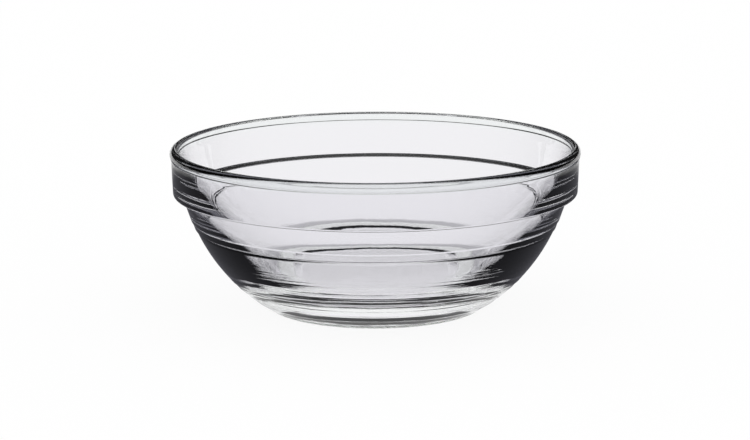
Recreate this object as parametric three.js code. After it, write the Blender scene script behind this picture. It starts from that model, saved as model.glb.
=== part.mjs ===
import * as THREE from "three";

// Stackable pressed-glass bowl, one piece of clear glass turned about +Z.
// Sizes are in millimetres and the foot stands on Z = 0.

// Rim and collar
const rimDiameter = 140;
const bowlHeight = 55.6;
const lipThickness = 2.8; // glass just under the rounded rim
const beadRadius = 2.1; // rolled edge around the outside of the rim
const beadProud = 0.5; // how far the rolled edge stands out from the collar
const collarHeight = 16; // rim top down to the ledge, which is the stacking pitch
const collarDraft = 0.5; // radius the collar loses on the way down
const collarCorner = 0.8; // rounding where the collar turns under into the ledge

// Neck that drops into the rim of the bowl below
const stackClearance = 1.2; // between the neck and the rim around it
const neckFillet = 1.3; // rounding where the ledge meets the neck
const neckHeight = 8.8;
const neckDraft = 2.95; // radius the neck loses on the way down
const shoulderDepth = 0.5; // small step under the neck

// Round wall with fine steps near its top and its base
const footRadius = 36.2;
const wallBulge = 3.45; // how far the wall swells out from a straight cone
const wallThickness = 3.5; // glass below the shoulder
const shoulderRingDrop = 2.6; // fine step below the shoulder
const shoulderRingDepth = 0.55;
const baseRingCount = 4;
const baseRingTop = 10.7; // height of the highest fine step of the base
const baseRingPitch = 2.45;
const baseRingDepth = 0.14;
const ringSlope = 0.6; // height over which each fine step runs

// Foot and floor
const footWidth = 5; // flat ring that the bowl stands on
const recessDepth = 1; // hollow under the floor, inside the foot
const recessSlope = 2; // run of the slope from the foot up into the hollow
const heelThickness = 5.6; // glass where the wall turns into the floor
const heelHeight = 10.3; // height of that turn on the outside
const floorHeight = 7.2; // top of the floor above the table

// Smoothness
const turnSteps = 60;
const wallSteps = 9;
const innerSteps = 12;
const floorSteps = 6;
const roundSteps = 5;

const rimRadius = rimDiameter / 2;
const rimInnerRadius = rimRadius - lipThickness;
const crestRadius = rimRadius - beadRadius;
const lipRound = lipThickness - beadRadius;
const collarTopRadius = rimRadius - beadProud;
const collarFootRadius = collarTopRadius - collarDraft;
const ledgeHeight = bowlHeight - collarHeight;
const neckRadius = rimInnerRadius - stackClearance;
const shoulderHeight = ledgeHeight - neckHeight;
const shoulderRadius = neckRadius - neckDraft;
const wallTopRadius = shoulderRadius - shoulderDepth;

const point = (radius, height) => new THREE.Vector2(radius, height);

// Circle through two points that swells sideways from their chord by the given bulge.
function circleFromBulge(low, high, bulge) {
  const half = low.distanceTo(high) / 2;
  const radius = (half * half + bulge * bulge) / (2 * bulge);
  const along = high.clone().sub(low).normalize();
  const inward = point(-along.y, along.x);
  const centre = low.clone().add(high).multiplyScalar(0.5).addScaledVector(inward, radius - bulge);
  return { centre, radius };
}

// Circle through three points.
function circleThrough(first, second, third) {
  const b = second.clone().sub(first);
  const c = third.clone().sub(first);
  const twiceArea = 2 * b.cross(c);
  const x = (c.y * b.lengthSq() - b.y * c.lengthSq()) / twiceArea;
  const y = (b.x * c.lengthSq() - c.x * b.lengthSq()) / twiceArea;
  return { centre: point(first.x + x, first.y + y), radius: Math.hypot(x, y) };
}

// Points of a circle from one angle to another, both ends included.
function arc(centre, radius, fromAngle, toAngle, steps) {
  return Array.from({ length: steps + 1 }, (_, step) => {
    const angle = fromAngle + ((toAngle - fromAngle) * step) / steps;
    return point(centre.x + radius * Math.cos(angle), centre.y + radius * Math.sin(angle));
  });
}

const angleOn = (circle, where) => Math.atan2(where.y - circle.centre.y, where.x - circle.centre.x);

// Outside of the round wall, without its fine steps
const wall = circleFromBulge(point(footRadius, 0), point(wallTopRadius, shoulderHeight), wallBulge);

function wallPoint(height, inset = 0) {
  const rise = height - wall.centre.y;
  const onWall = point(wall.centre.x + Math.sqrt(wall.radius ** 2 - rise ** 2), height);
  const outward = onWall.clone().sub(wall.centre).normalize();
  return onWall.addScaledVector(outward, -inset);
}

// One fine step: the wall below it lies in by half the depth, the wall above stands out by half.
function ringStep(height, depth) {
  return [
    wallPoint(height - ringSlope / 2, depth / 2),
    wallPoint(height + ringSlope / 2, -depth / 2),
  ];
}

function outsideProfile() {
  const footInner = footRadius - footWidth;
  const underside = [
    point(0, recessDepth),
    point(footInner - recessSlope, recessDepth),
    point(footInner, 0),
    point(footRadius, 0),
  ];
  const baseRings = [];
  for (let ring = baseRingCount - 1; ring >= 0; ring -= 1) {
    baseRings.push(...ringStep(baseRingTop - ring * baseRingPitch, baseRingDepth));
  }
  const ringHeight = shoulderHeight - shoulderRingDrop;
  const wallLow = baseRingTop + ringSlope / 2;
  const wallHigh = ringHeight - ringSlope / 2;
  const roundWall = [];
  for (let step = 1; step < wallSteps; step += 1) {
    roundWall.push(wallPoint(wallLow + ((wallHigh - wallLow) * step) / wallSteps));
  }
  const shoulder = [
    ...ringStep(ringHeight, shoulderRingDepth),
    point(wallTopRadius, shoulderHeight - ringSlope / 2),
    point(shoulderRadius, shoulderHeight + ringSlope / 2),
  ];
  const ledge = [
    ...arc(
      point(neckRadius + neckFillet, ledgeHeight - neckFillet),
      neckFillet,
      Math.PI,
      Math.PI / 2,
      roundSteps,
    ),
    ...arc(
      point(collarFootRadius - collarCorner, ledgeHeight + collarCorner),
      collarCorner,
      -Math.PI / 2,
      0,
      roundSteps,
    ),
  ];
  return [...underside, ...baseRings, ...roundWall, ...shoulder, ...ledge];
}

function rimProfile() {
  const beadStart = -Math.acos((beadRadius - beadProud) / beadRadius);
  const bead = arc(point(crestRadius, bowlHeight - beadRadius), beadRadius, beadStart, Math.PI / 2, 2 * roundSteps);
  const lip = arc(point(crestRadius, bowlHeight - lipRound), lipRound, Math.PI / 2, Math.PI, roundSteps);
  return [...bead, ...lip.slice(1)];
}

function insideProfile() {
  const top = point(rimInnerRadius, bowlHeight - lipRound);
  const waist = wallPoint(shoulderHeight - shoulderRingDrop, wallThickness);
  const heel = wallPoint(heelHeight, heelThickness);
  const inner = circleThrough(top, waist, heel);
  const heelAngle = angleOn(inner, heel);
  const side = arc(inner.centre, inner.radius, angleOn(inner, top), heelAngle, innerSteps);
  const bendRadius = (heel.y - floorHeight) / (1 + Math.sin(heelAngle));
  const bendCentre = point(heel.x - bendRadius * Math.cos(heelAngle), floorHeight + bendRadius);
  const bend = arc(bendCentre, bendRadius, heelAngle, -Math.PI / 2, floorSteps);
  return [...side.slice(1), ...bend.slice(1), point(0, floorHeight)];
}

const profile = [...outsideProfile(), ...rimProfile(), ...insideProfile()];
const bowlGeometry = new THREE.LatheGeometry(profile, turnSteps);
bowlGeometry.rotateX(Math.PI / 2);

const clearGlass = new THREE.MeshStandardMaterial({
  name: "clear_glass",
  color: 0xe9eaec,
  roughness: 0.04,
  metalness: 0,
  transparent: true,
  opacity: 0.35,
});

const glassBowl = new THREE.Mesh(bowlGeometry, clearGlass);
glassBowl.name = "glass_bowl";

const bowl = new THREE.Group();
bowl.name = "stackable_glass_bowl";
bowl.add(glassBowl);

export default bowl;
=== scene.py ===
import math
import bpy
import bmesh
from mathutils import Matrix, Vector


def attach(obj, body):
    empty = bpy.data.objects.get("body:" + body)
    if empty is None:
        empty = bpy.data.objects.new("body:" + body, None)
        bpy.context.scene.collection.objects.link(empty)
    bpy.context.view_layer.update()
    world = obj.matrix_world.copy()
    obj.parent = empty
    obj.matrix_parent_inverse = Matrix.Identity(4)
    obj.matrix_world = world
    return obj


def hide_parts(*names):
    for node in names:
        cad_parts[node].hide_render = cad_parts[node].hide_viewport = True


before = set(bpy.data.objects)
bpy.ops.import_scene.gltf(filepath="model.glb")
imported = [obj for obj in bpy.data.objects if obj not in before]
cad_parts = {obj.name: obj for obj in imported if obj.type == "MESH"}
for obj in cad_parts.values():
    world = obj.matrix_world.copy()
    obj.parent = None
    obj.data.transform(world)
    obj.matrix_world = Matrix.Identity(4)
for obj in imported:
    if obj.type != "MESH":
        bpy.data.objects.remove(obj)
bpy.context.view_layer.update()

millimetre = 0.001
white = (1, 1, 1, 1)
scene = bpy.context.scene
scene.view_settings.view_transform = "Standard"


class Wire:  # one output socket, so that shader maths reads as maths
    def __init__(self, sheet, socket):
        self.sheet = sheet
        self.socket = socket

    def out(self, name):  # another output of the same node
        return Wire(self.sheet, self.socket.node.outputs[name])

    def maths(self, operation, first, second=0.0):
        return self.sheet.add("ShaderNodeMath", {"operation": operation}, {0: first, 1: second})

    def __add__(self, other):
        return self.maths("ADD", self, other)

    def __radd__(self, other):
        return self.maths("ADD", other, self)

    def __sub__(self, other):
        return self.maths("SUBTRACT", self, other)

    def __rsub__(self, other):
        return self.maths("SUBTRACT", other, self)

    def __mul__(self, other):
        return self.maths("MULTIPLY", self, other)

    def __rmul__(self, other):
        return self.maths("MULTIPLY", other, self)

    def most(self, other):
        return self.maths("MAXIMUM", self, other)

    def least(self, other):
        return self.maths("MINIMUM", self, other)

    def rise(self, low, high):  # soft 0 to 1 between two values
        return self.sheet.add("ShaderNodeMapRange", {"interpolation_type": "SMOOTHSTEP"},
                              {"Value": self, "From Min": low, "From Max": high})


class NodeSheet:  # a material's or the world's node tree
    def __init__(self, owner):
        owner.use_nodes = True
        self.tree = owner.node_tree
        self.tree.nodes.clear()

    def add(self, kind, settings=None, sockets=None, output=0):
        node = self.tree.nodes.new(kind)
        for name, value in (settings or {}).items():
            setattr(node, name, value)
        for name, value in (sockets or {}).items():
            if isinstance(value, Wire):
                self.tree.links.new(value.socket, node.inputs[name])
            else:
                node.inputs[name].default_value = value
        return Wire(self, node.outputs[output]) if node.outputs else None

    def mixColours(self, factor, first, second):  # 6, 7 and 2 are the node's colour sockets
        return self.add("ShaderNodeMix", {"data_type": "RGBA"}, {"Factor": factor, 6: first, 7: second}, 2)

    def mixShaders(self, factor, first, second):
        return self.add("ShaderNodeMixShader", {}, {0: factor, 1: first, 2: second})

    def objectPlace(self):  # position, its y and z, and the distance from the bowl's axis
        place = self.add("ShaderNodeTexCoord", output="Object")
        x = self.add("ShaderNodeSeparateXYZ", {}, {"Vector": place}, "X")
        y = x.out("Y")
        return place, y, x.out("Z"), x.maths("SQRT", x * x + y * y)


# the bowl: one turned piece of pressed glass, sizes in millimetres as in the part's source
bowlShape = {
    "rimRadius": 70.0, "height": 55.6, "lipThickness": 2.8,
    "beadRadius": 2.1, "beadProud": 0.5, "beadRound": 0.5,
    "collarHeight": 16.0, "collarDraft": 0.5, "collarCorner": 0.8,
    "stackClearance": 1.2, "neckFillet": 1.3, "neckHeight": 8.8, "neckDraft": 2.95,
    "shoulderDepth": 0.5, "shoulderRound": 0.4,
    "shoulderRingDrop": 2.6, "shoulderRingDepth": 0.55, "shoulderRingRound": (0.4, 0.3),
    "footRadius": 36.2, "wallBulge": 3.45, "wallThickness": 3.5,
    "wallGapLow": 1.6, "wallGapHigh": 1.0,  # plain wall kept clear of the fine steps
    "baseRings": 4, "baseRingTop": 10.7, "baseRingPitch": 2.45, "baseRingDepth": 0.14,
    "ringSlope": 0.6, "ringRound": 0.2,
    "footWidth": 5.0, "footRound": 3.5,
    "recessDepth": 1.0, "recessSlope": 2.0, "recessCorner": 0.8,
    "recessEase": 3.0, "recessRound": 12.0,  # only here: the hollow's edge runs out more gently
    "heelThickness": 5.6, "heelHeight": 10.3,
    "floorRadius": 2000.0, "floorHeight": 7.2,  # nearly flat
    "turnSteps": 320, "roundSteps": 6, "wallSteps": 36, "beadSteps": 18, "lipSteps": 10,
    "innerSteps": 60, "bendSteps": 28, "floorSteps": 12, "underSteps": 8,
}


def circleFromBulge(low, high, bulge):
    half = (high - low).length / 2
    radius = (half ** 2 + bulge ** 2) / (2 * bulge)
    along = (high - low).normalized()
    return (low + high) / 2 + Vector((-along.y, along.x)) * (radius - bulge), radius


def circleThrough(first, second, third):
    b = second - first
    c = third - first
    twiceArea = 2 * (b.x * c.y - b.y * c.x)
    offset = Vector((c.y * b.length_squared - b.y * c.length_squared,
                     b.x * c.length_squared - c.x * b.length_squared)) / twiceArea
    return first + offset, offset.length


def arcPoints(centre, radius, start, end, steps):
    angles = [start + (end - start) * step / steps for step in range(steps + 1)]
    return [centre + Vector((math.cos(a), math.sin(a))) * radius for a in angles]


def angleFrom(centre, where):
    return math.atan2(where.y - centre.y, where.x - centre.x)


def roundCorner(before, corner, after, radius, steps):  # tangent arc in place of a sharp corner
    a = (before - corner).normalized()
    b = (after - corner).normalized()
    halfAngle = a.angle(b) / 2
    reach = radius / math.tan(halfAngle)
    centre = corner + (a + b).normalized() * (radius / math.sin(halfAngle))
    first = corner + a * reach - centre
    turn = first.angle_signed(corner + b * reach - centre)
    start = math.atan2(first.y, first.x)
    return arcPoints(centre, radius, start, start - turn, steps)


def bowlProfile(s):
    rimInner = s["rimRadius"] - s["lipThickness"]
    crest = s["rimRadius"] - s["beadRadius"]
    lipRound = s["lipThickness"] - s["beadRadius"]
    collarTop = s["rimRadius"] - s["beadProud"]
    collarFoot = collarTop - s["collarDraft"]
    ledge = s["height"] - s["collarHeight"]
    neck = rimInner - s["stackClearance"]
    shoulder = ledge - s["neckHeight"]
    shoulderRadius = neck - s["neckDraft"]
    wallTop = shoulderRadius - s["shoulderDepth"]
    halfSlope = s["ringSlope"] / 2
    wallCentre, wallRadius = circleFromBulge(
        Vector((s["footRadius"], 0)), Vector((wallTop, shoulder)), s["wallBulge"])

    def wallPoint(height, inset=0.0):
        across = math.sqrt(wallRadius ** 2 - (height - wallCentre.y) ** 2)
        onWall = Vector((wallCentre.x + across, height))
        return onWall - (onWall - wallCentre).normalized() * inset

    def ringStep(height, depth):
        return [wallPoint(height - halfSlope, depth / 2), wallPoint(height + halfSlope, -depth / 2)]

    # corners of the stepped outside, each with its rounding
    footInner = s["footRadius"] - s["footWidth"]
    recessEdge = footInner - s["recessSlope"] - s["recessEase"]
    outside = [(Vector((recessEdge, s["recessDepth"])), s["recessRound"]),
               (Vector((footInner, 0)), s["recessCorner"]),
               (Vector((s["footRadius"], 0)), s["footRound"])]
    for ring in reversed(range(s["baseRings"])):
        low, high = ringStep(s["baseRingTop"] - ring * s["baseRingPitch"], s["baseRingDepth"])
        outside += [(low, s["ringRound"]), (high, s["ringRound"])]
    ringHeight = shoulder - s["shoulderRingDrop"]
    wallLow = s["baseRingTop"] + s["wallGapLow"]
    wallHigh = ringHeight - s["wallGapHigh"]
    for step in range(s["wallSteps"] + 1):
        outside.append((wallPoint(wallLow + (wallHigh - wallLow) * step / s["wallSteps"]), 0))
    low, high = ringStep(ringHeight, s["shoulderRingDepth"])
    lowRound, highRound = s["shoulderRingRound"]
    outside += [(low, lowRound), (high, highRound),
                (Vector((wallTop, shoulder - halfSlope)), s["shoulderRound"]),
                (Vector((shoulderRadius, shoulder + halfSlope)), s["shoulderRound"]),
                (Vector((neck, ledge)), s["neckFillet"]),
                (Vector((collarFoot, ledge)), s["collarCorner"])]

    # rolled rim
    beadStart = -math.acos((s["beadRadius"] - s["beadProud"]) / s["beadRadius"])
    beadCentre = Vector((crest, s["height"] - s["beadRadius"]))
    bead = arcPoints(beadCentre, s["beadRadius"], beadStart, math.pi / 2, s["beadSteps"])
    lipCentre = Vector((crest, s["height"] - lipRound))
    lip = arcPoints(lipCentre, lipRound, math.pi / 2, math.pi, s["lipSteps"])

    underCentre = Vector((0, s["recessDepth"]))
    corners = [(underCentre, 0)] + outside + [(bead[0], s["beadRound"]), (bead[1], 0)]
    points = []
    for (before, _), (corner, radius), (after, _) in zip(corners, corners[1:], corners[2:]):
        points += roundCorner(before, corner, after, radius, s["roundSteps"]) if radius else [corner]
    under = [underCentre.lerp(points[0], step / s["underSteps"]) for step in range(s["underSteps"])]
    points = under + points + bead[2:] + lip[1:]

    # inside: one large arc, then a bend into the floor
    top = Vector((rimInner, s["height"] - lipRound))
    waist = wallPoint(ringHeight, s["wallThickness"])
    heel = wallPoint(s["heelHeight"], s["heelThickness"])
    innerCentre, innerRadius = circleThrough(top, waist, heel)
    topAngle = angleFrom(innerCentre, top)
    heelAngle = angleFrom(innerCentre, heel)
    points += arcPoints(innerCentre, innerRadius, topAngle, heelAngle, s["innerSteps"])[1:]
    floorCentre = Vector((0, s["floorHeight"] + s["floorRadius"]))
    inward = Vector((math.cos(heelAngle), math.sin(heelAngle)))
    reach = heel - floorCentre
    excess = reach.length_squared - s["floorRadius"] ** 2
    bendRadius = excess / (2 * (reach.dot(inward) - s["floorRadius"]))
    bendCentre = heel - inward * bendRadius
    edgeAngle = angleFrom(floorCentre, bendCentre)
    points += arcPoints(bendCentre, bendRadius, heelAngle, edgeAngle, s["bendSteps"])[1:]
    points += arcPoints(floorCentre, s["floorRadius"], edgeAngle, -math.pi / 2, s["floorSteps"])[1:]
    points[-1].x = 0
    return points


def turnProfile(name, points, steps):
    onAxis = 1e-6  # a point this close to the axis becomes a single vertex
    mesh = bmesh.new()
    rings = []
    for p in points:
        if p.x < onAxis:
            rings.append([mesh.verts.new((0, 0, p.y * millimetre))])
            continue
        ring = []
        for step in range(steps):
            angle = 2 * math.pi * step / steps
            ring.append(mesh.verts.new((p.x * math.cos(angle) * millimetre,
                                        p.x * math.sin(angle) * millimetre, p.y * millimetre)))
        rings.append(ring)
    for lower, upper in zip(rings, rings[1:]):
        for step in range(steps):
            following = (step + 1) % steps
            if len(lower) == 1:
                mesh.faces.new((lower[0], upper[following], upper[step]))
            elif len(upper) == 1:
                mesh.faces.new((lower[step], lower[following], upper[0]))
            else:
                mesh.faces.new((lower[step], lower[following], upper[following], upper[step]))
    for face in mesh.faces:
        face.smooth = True
    return meshObject(name, mesh)


def meshObject(name, mesh):
    data = bpy.data.meshes.new(name)
    mesh.to_mesh(data)
    mesh.free()
    piece = bpy.data.objects.new(name, data)
    scene.collection.objects.link(piece)
    return piece


# clear soda-lime glass: faint mould waves below the rim, fine tool rings above the base,
# a frosted and stippled ring where the bowl stands, a cool cast in the rim; heights in metres
glassLook = {
    "clear": (0.955, 0.95, 0.975, 1), "rim": (0.93, 0.95, 0.955, 1), "foot": (0.92, 0.95, 0.92, 1),
    "ior": 1.52, "rimFrom": (0.0505, 0.0535), "bumpReach": 0.0001,
    "waveScale": 62.0, "waveDepth": 1.6, "waveDetail": 1.0,
    "rippleScale": 240.0, "rippleDepth": 0.12, "fineDetail": 2.0,
    "toolScale": 900.0, "toolDepth": 0.3, "toolFrom": (0.010, 0.013), "toolTo": (0.020, 0.024),
    "stippleScale": 900.0, "stippleDepth": 1.5, "stippleRange": (0.35, 0.65),
    "footTop": (0.0008, 0.0014), "footInside": (0.0300, 0.0312), "footRoughness": (0.3, 0.9),
    "frostIor": 1.05, "frostRoughness": 0.6, "frostShare": (0.5, 1.0),
}


def glassMaterial(g):
    material = bpy.data.materials.new("clearGlass")
    sheet = NodeSheet(material)
    place, _, z, reach = sheet.objectPlace()

    def speckle(scale, detail):
        return sheet.add("ShaderNodeTexNoise", {}, {"Vector": place, "Scale": scale, "Detail": detail})

    rim = z.rise(*g["rimFrom"])
    bearing = (1 - z.rise(*g["footTop"])) * reach.rise(*g["footInside"])
    wave = speckle(g["waveScale"], g["waveDetail"]) * g["waveDepth"]
    wave = wave + speckle(g["rippleScale"], g["fineDetail"]) * g["rippleDepth"]
    tool = sheet.add("ShaderNodeTexNoise", {"noise_dimensions": "1D"},
                     {"W": z, "Scale": g["toolScale"], "Detail": g["fineDetail"]})
    tool = tool * z.rise(*g["toolFrom"]) * (1 - z.rise(*g["toolTo"])) * g["toolDepth"]
    grain = speckle(g["stippleScale"], g["fineDetail"])
    relief = wave * (1 - rim) + tool + grain * bearing * g["stippleDepth"]
    bump = sheet.add("ShaderNodeBump", {}, {
        "Strength": 1.0, "Distance": g["bumpReach"], "Height": relief})
    stipple = grain.rise(*g["stippleRange"])
    smooth, rough = g["footRoughness"]
    roughness = bearing * (smooth + stipple * (rough - smooth))
    tint = sheet.mixColours(rim, g["clear"], g["rim"])
    tint = sheet.mixColours(bearing, tint, g["foot"])
    polished = sheet.add("ShaderNodeBsdfPrincipled", {}, {
        "Base Color": tint, "Roughness": roughness, "IOR": g["ior"],
        "Transmission Weight": 1.0, "Normal": bump})
    frosted = sheet.add("ShaderNodeBsdfPrincipled", {}, {
        "Base Color": tint, "Roughness": g["frostRoughness"], "IOR": g["frostIor"],
        "Transmission Weight": 1.0})
    least, most = g["frostShare"]
    glass = sheet.mixShaders(bearing * (least + stipple * (most - least)), polished, frosted)
    sheet.add("ShaderNodeOutputMaterial", {}, {"Surface": glass})
    return material


glassBowl = turnProfile("glassBowl", bowlProfile(bowlShape), bowlShape["turnSteps"])
glassBowl.data.materials.append(glassMaterial(glassLook))
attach(glassBowl, "root")
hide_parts("glass_bowl")
print("bowl turned:", len(glassBowl.data.polygons), "faces")


# camera at the photograph's viewing angle; metres, degrees and pixels of the picture
cameraView = {
    "distance": 1.0, "elevation": 11.73, "roll": 0.25, "aimSide": -0.00017, "aimHeight": 0.0295,
    "focalPixels": 2919.0, "pictureWidth": 750, "sensorWidth": 36.0,
}


def placeCamera(v):
    data = bpy.data.cameras.new("photoCamera")
    data.sensor_width = v["sensorWidth"]
    data.lens = v["focalPixels"] / v["pictureWidth"] * v["sensorWidth"]
    camera = bpy.data.objects.new("photoCamera", data)
    scene.collection.objects.link(camera)
    tilt = math.radians(v["elevation"])
    aim = Vector((v["aimSide"], 0, v["aimHeight"]))
    place = aim + Vector((0, -math.cos(tilt), math.sin(tilt))) * v["distance"]
    look = (aim - place).to_track_quat("-Z", "Y").to_matrix().to_4x4()
    roll = Matrix.Rotation(math.radians(-v["roll"]), 4, "Z")
    camera.matrix_world = Matrix.Translation(place) @ look @ roll
    scene.camera = camera


placeCamera(cameraView)
print("camera placed")


def seenByGlass(sheet):  # looks that pass through or off the glass, and the node that tells them apart
    path = sheet.add("ShaderNodeLightPath", output="Is Transmission Ray")
    return path.most(path.out("Is Glossy Ray")), path


# soft white light from all round; the glass sees a white band at the horizon under a dark sky
skyLook = {"bandTop": (1.5, 4.0), "dark": 0.03, "topLight": (38, 50), "topLevel": 0.08}  # heights in degrees


def buildWorld(s):
    world = bpy.data.worlds.new("softStudio")
    scene.world = world
    sheet = NodeSheet(world)
    glass, _ = seenByGlass(sheet)
    direction = sheet.add("ShaderNodeTexCoord", output="Generated")
    z = sheet.add("ShaderNodeSeparateXYZ", {}, {"Vector": direction}, "Z")
    height = z.maths("ARCSINE", z) * math.degrees(1)
    band = 1 - height.rise(*s["bandTop"])
    top = height.rise(*s["topLight"]) * s["topLevel"]
    shown = band.most(top).most(s["dark"])
    light = sheet.add("ShaderNodeBackground", {}, {"Color": white, "Strength": 1 - glass * (1 - shown)})
    sheet.add("ShaderNodeOutputWorld", {}, {"Surface": light})


# plain pale floor, white to the camera: a wide dark ring and a dark front are painted on it as dark
# reflections that show only in mirrored looks, and a fainter painted shadow just outside the foot shows in
# every look through the glass; metres
floorLook = {
    "size": 6.0, "drop": 0.0002, "colour": (0.97, 0.97, 0.97, 1), "glow": 0.93, "violet": 0.02,
    "reflectionRingFrom": (0.044, 0.054), "reflectionRingTo": (0.23, 0.31), "reflectionRingLevel": 0.13,
    "reflectionFrontFrom": (0.10, 0.15), "reflectionFrontLevel": 0.2,
    "shadeFrom": (0.0365, 0.0385), "shadeTo": (0.042, 0.047), "shade": 0.4,
}


def paperMaterial(s):
    material = bpy.data.materials.new("palePaper")
    sheet = NodeSheet(material)
    glass, path = seenByGlass(sheet)
    mirrored = path.out("Glossy Depth").least(1.0)
    _, y, _, reach = sheet.objectPlace()
    # painted dark reflection: a wide ring round the bowl, dark only where the glass mirrors the floor
    ring = reach.rise(*s["reflectionRingFrom"]) * (1 - reach.rise(*s["reflectionRingTo"])) * (1 - s["reflectionRingLevel"])
    # painted dark reflection of the floor in front of the bowl, also only in mirrored looks
    front = (0 - y).rise(*s["reflectionFrontFrom"]) * (1 - s["reflectionFrontLevel"])
    # painted shadow just outside the foot, seen in every look through the glass
    shade = reach.rise(*s["shadeFrom"]) * (1 - reach.rise(*s["shadeTo"])) * s["shade"]
    shown = 1 - (ring.most(front) * mirrored).most(shade)
    grey = sheet.add("ShaderNodeCombineColor", {}, {
        "Red": shown, "Green": shown, "Blue": shown + (1 - shown) * s["violet"]})
    colour = sheet.mixColours(glass, white, grey)
    lit = sheet.add("ShaderNodeBsdfDiffuse", {}, {"Color": s["colour"]})
    glow = sheet.add("ShaderNodeEmission", {}, {"Color": colour, "Strength": 1.0})
    paper = sheet.mixShaders(glass.most(path.out("Is Camera Ray") * s["glow"]), lit, glow)
    sheet.add("ShaderNodeOutputMaterial", {}, {"Surface": paper})
    return material


def buildFloor(s):
    mesh = bmesh.new()
    bmesh.ops.create_grid(mesh, x_segments=1, y_segments=1, size=s["size"] / 2)
    floor = meshObject("paleFloor", mesh)
    floor.location.z = -s["drop"]
    floor.data.materials.append(paperMaterial(s))


buildWorld(skyLook)
buildFloor(floorLook)
print("studio set")
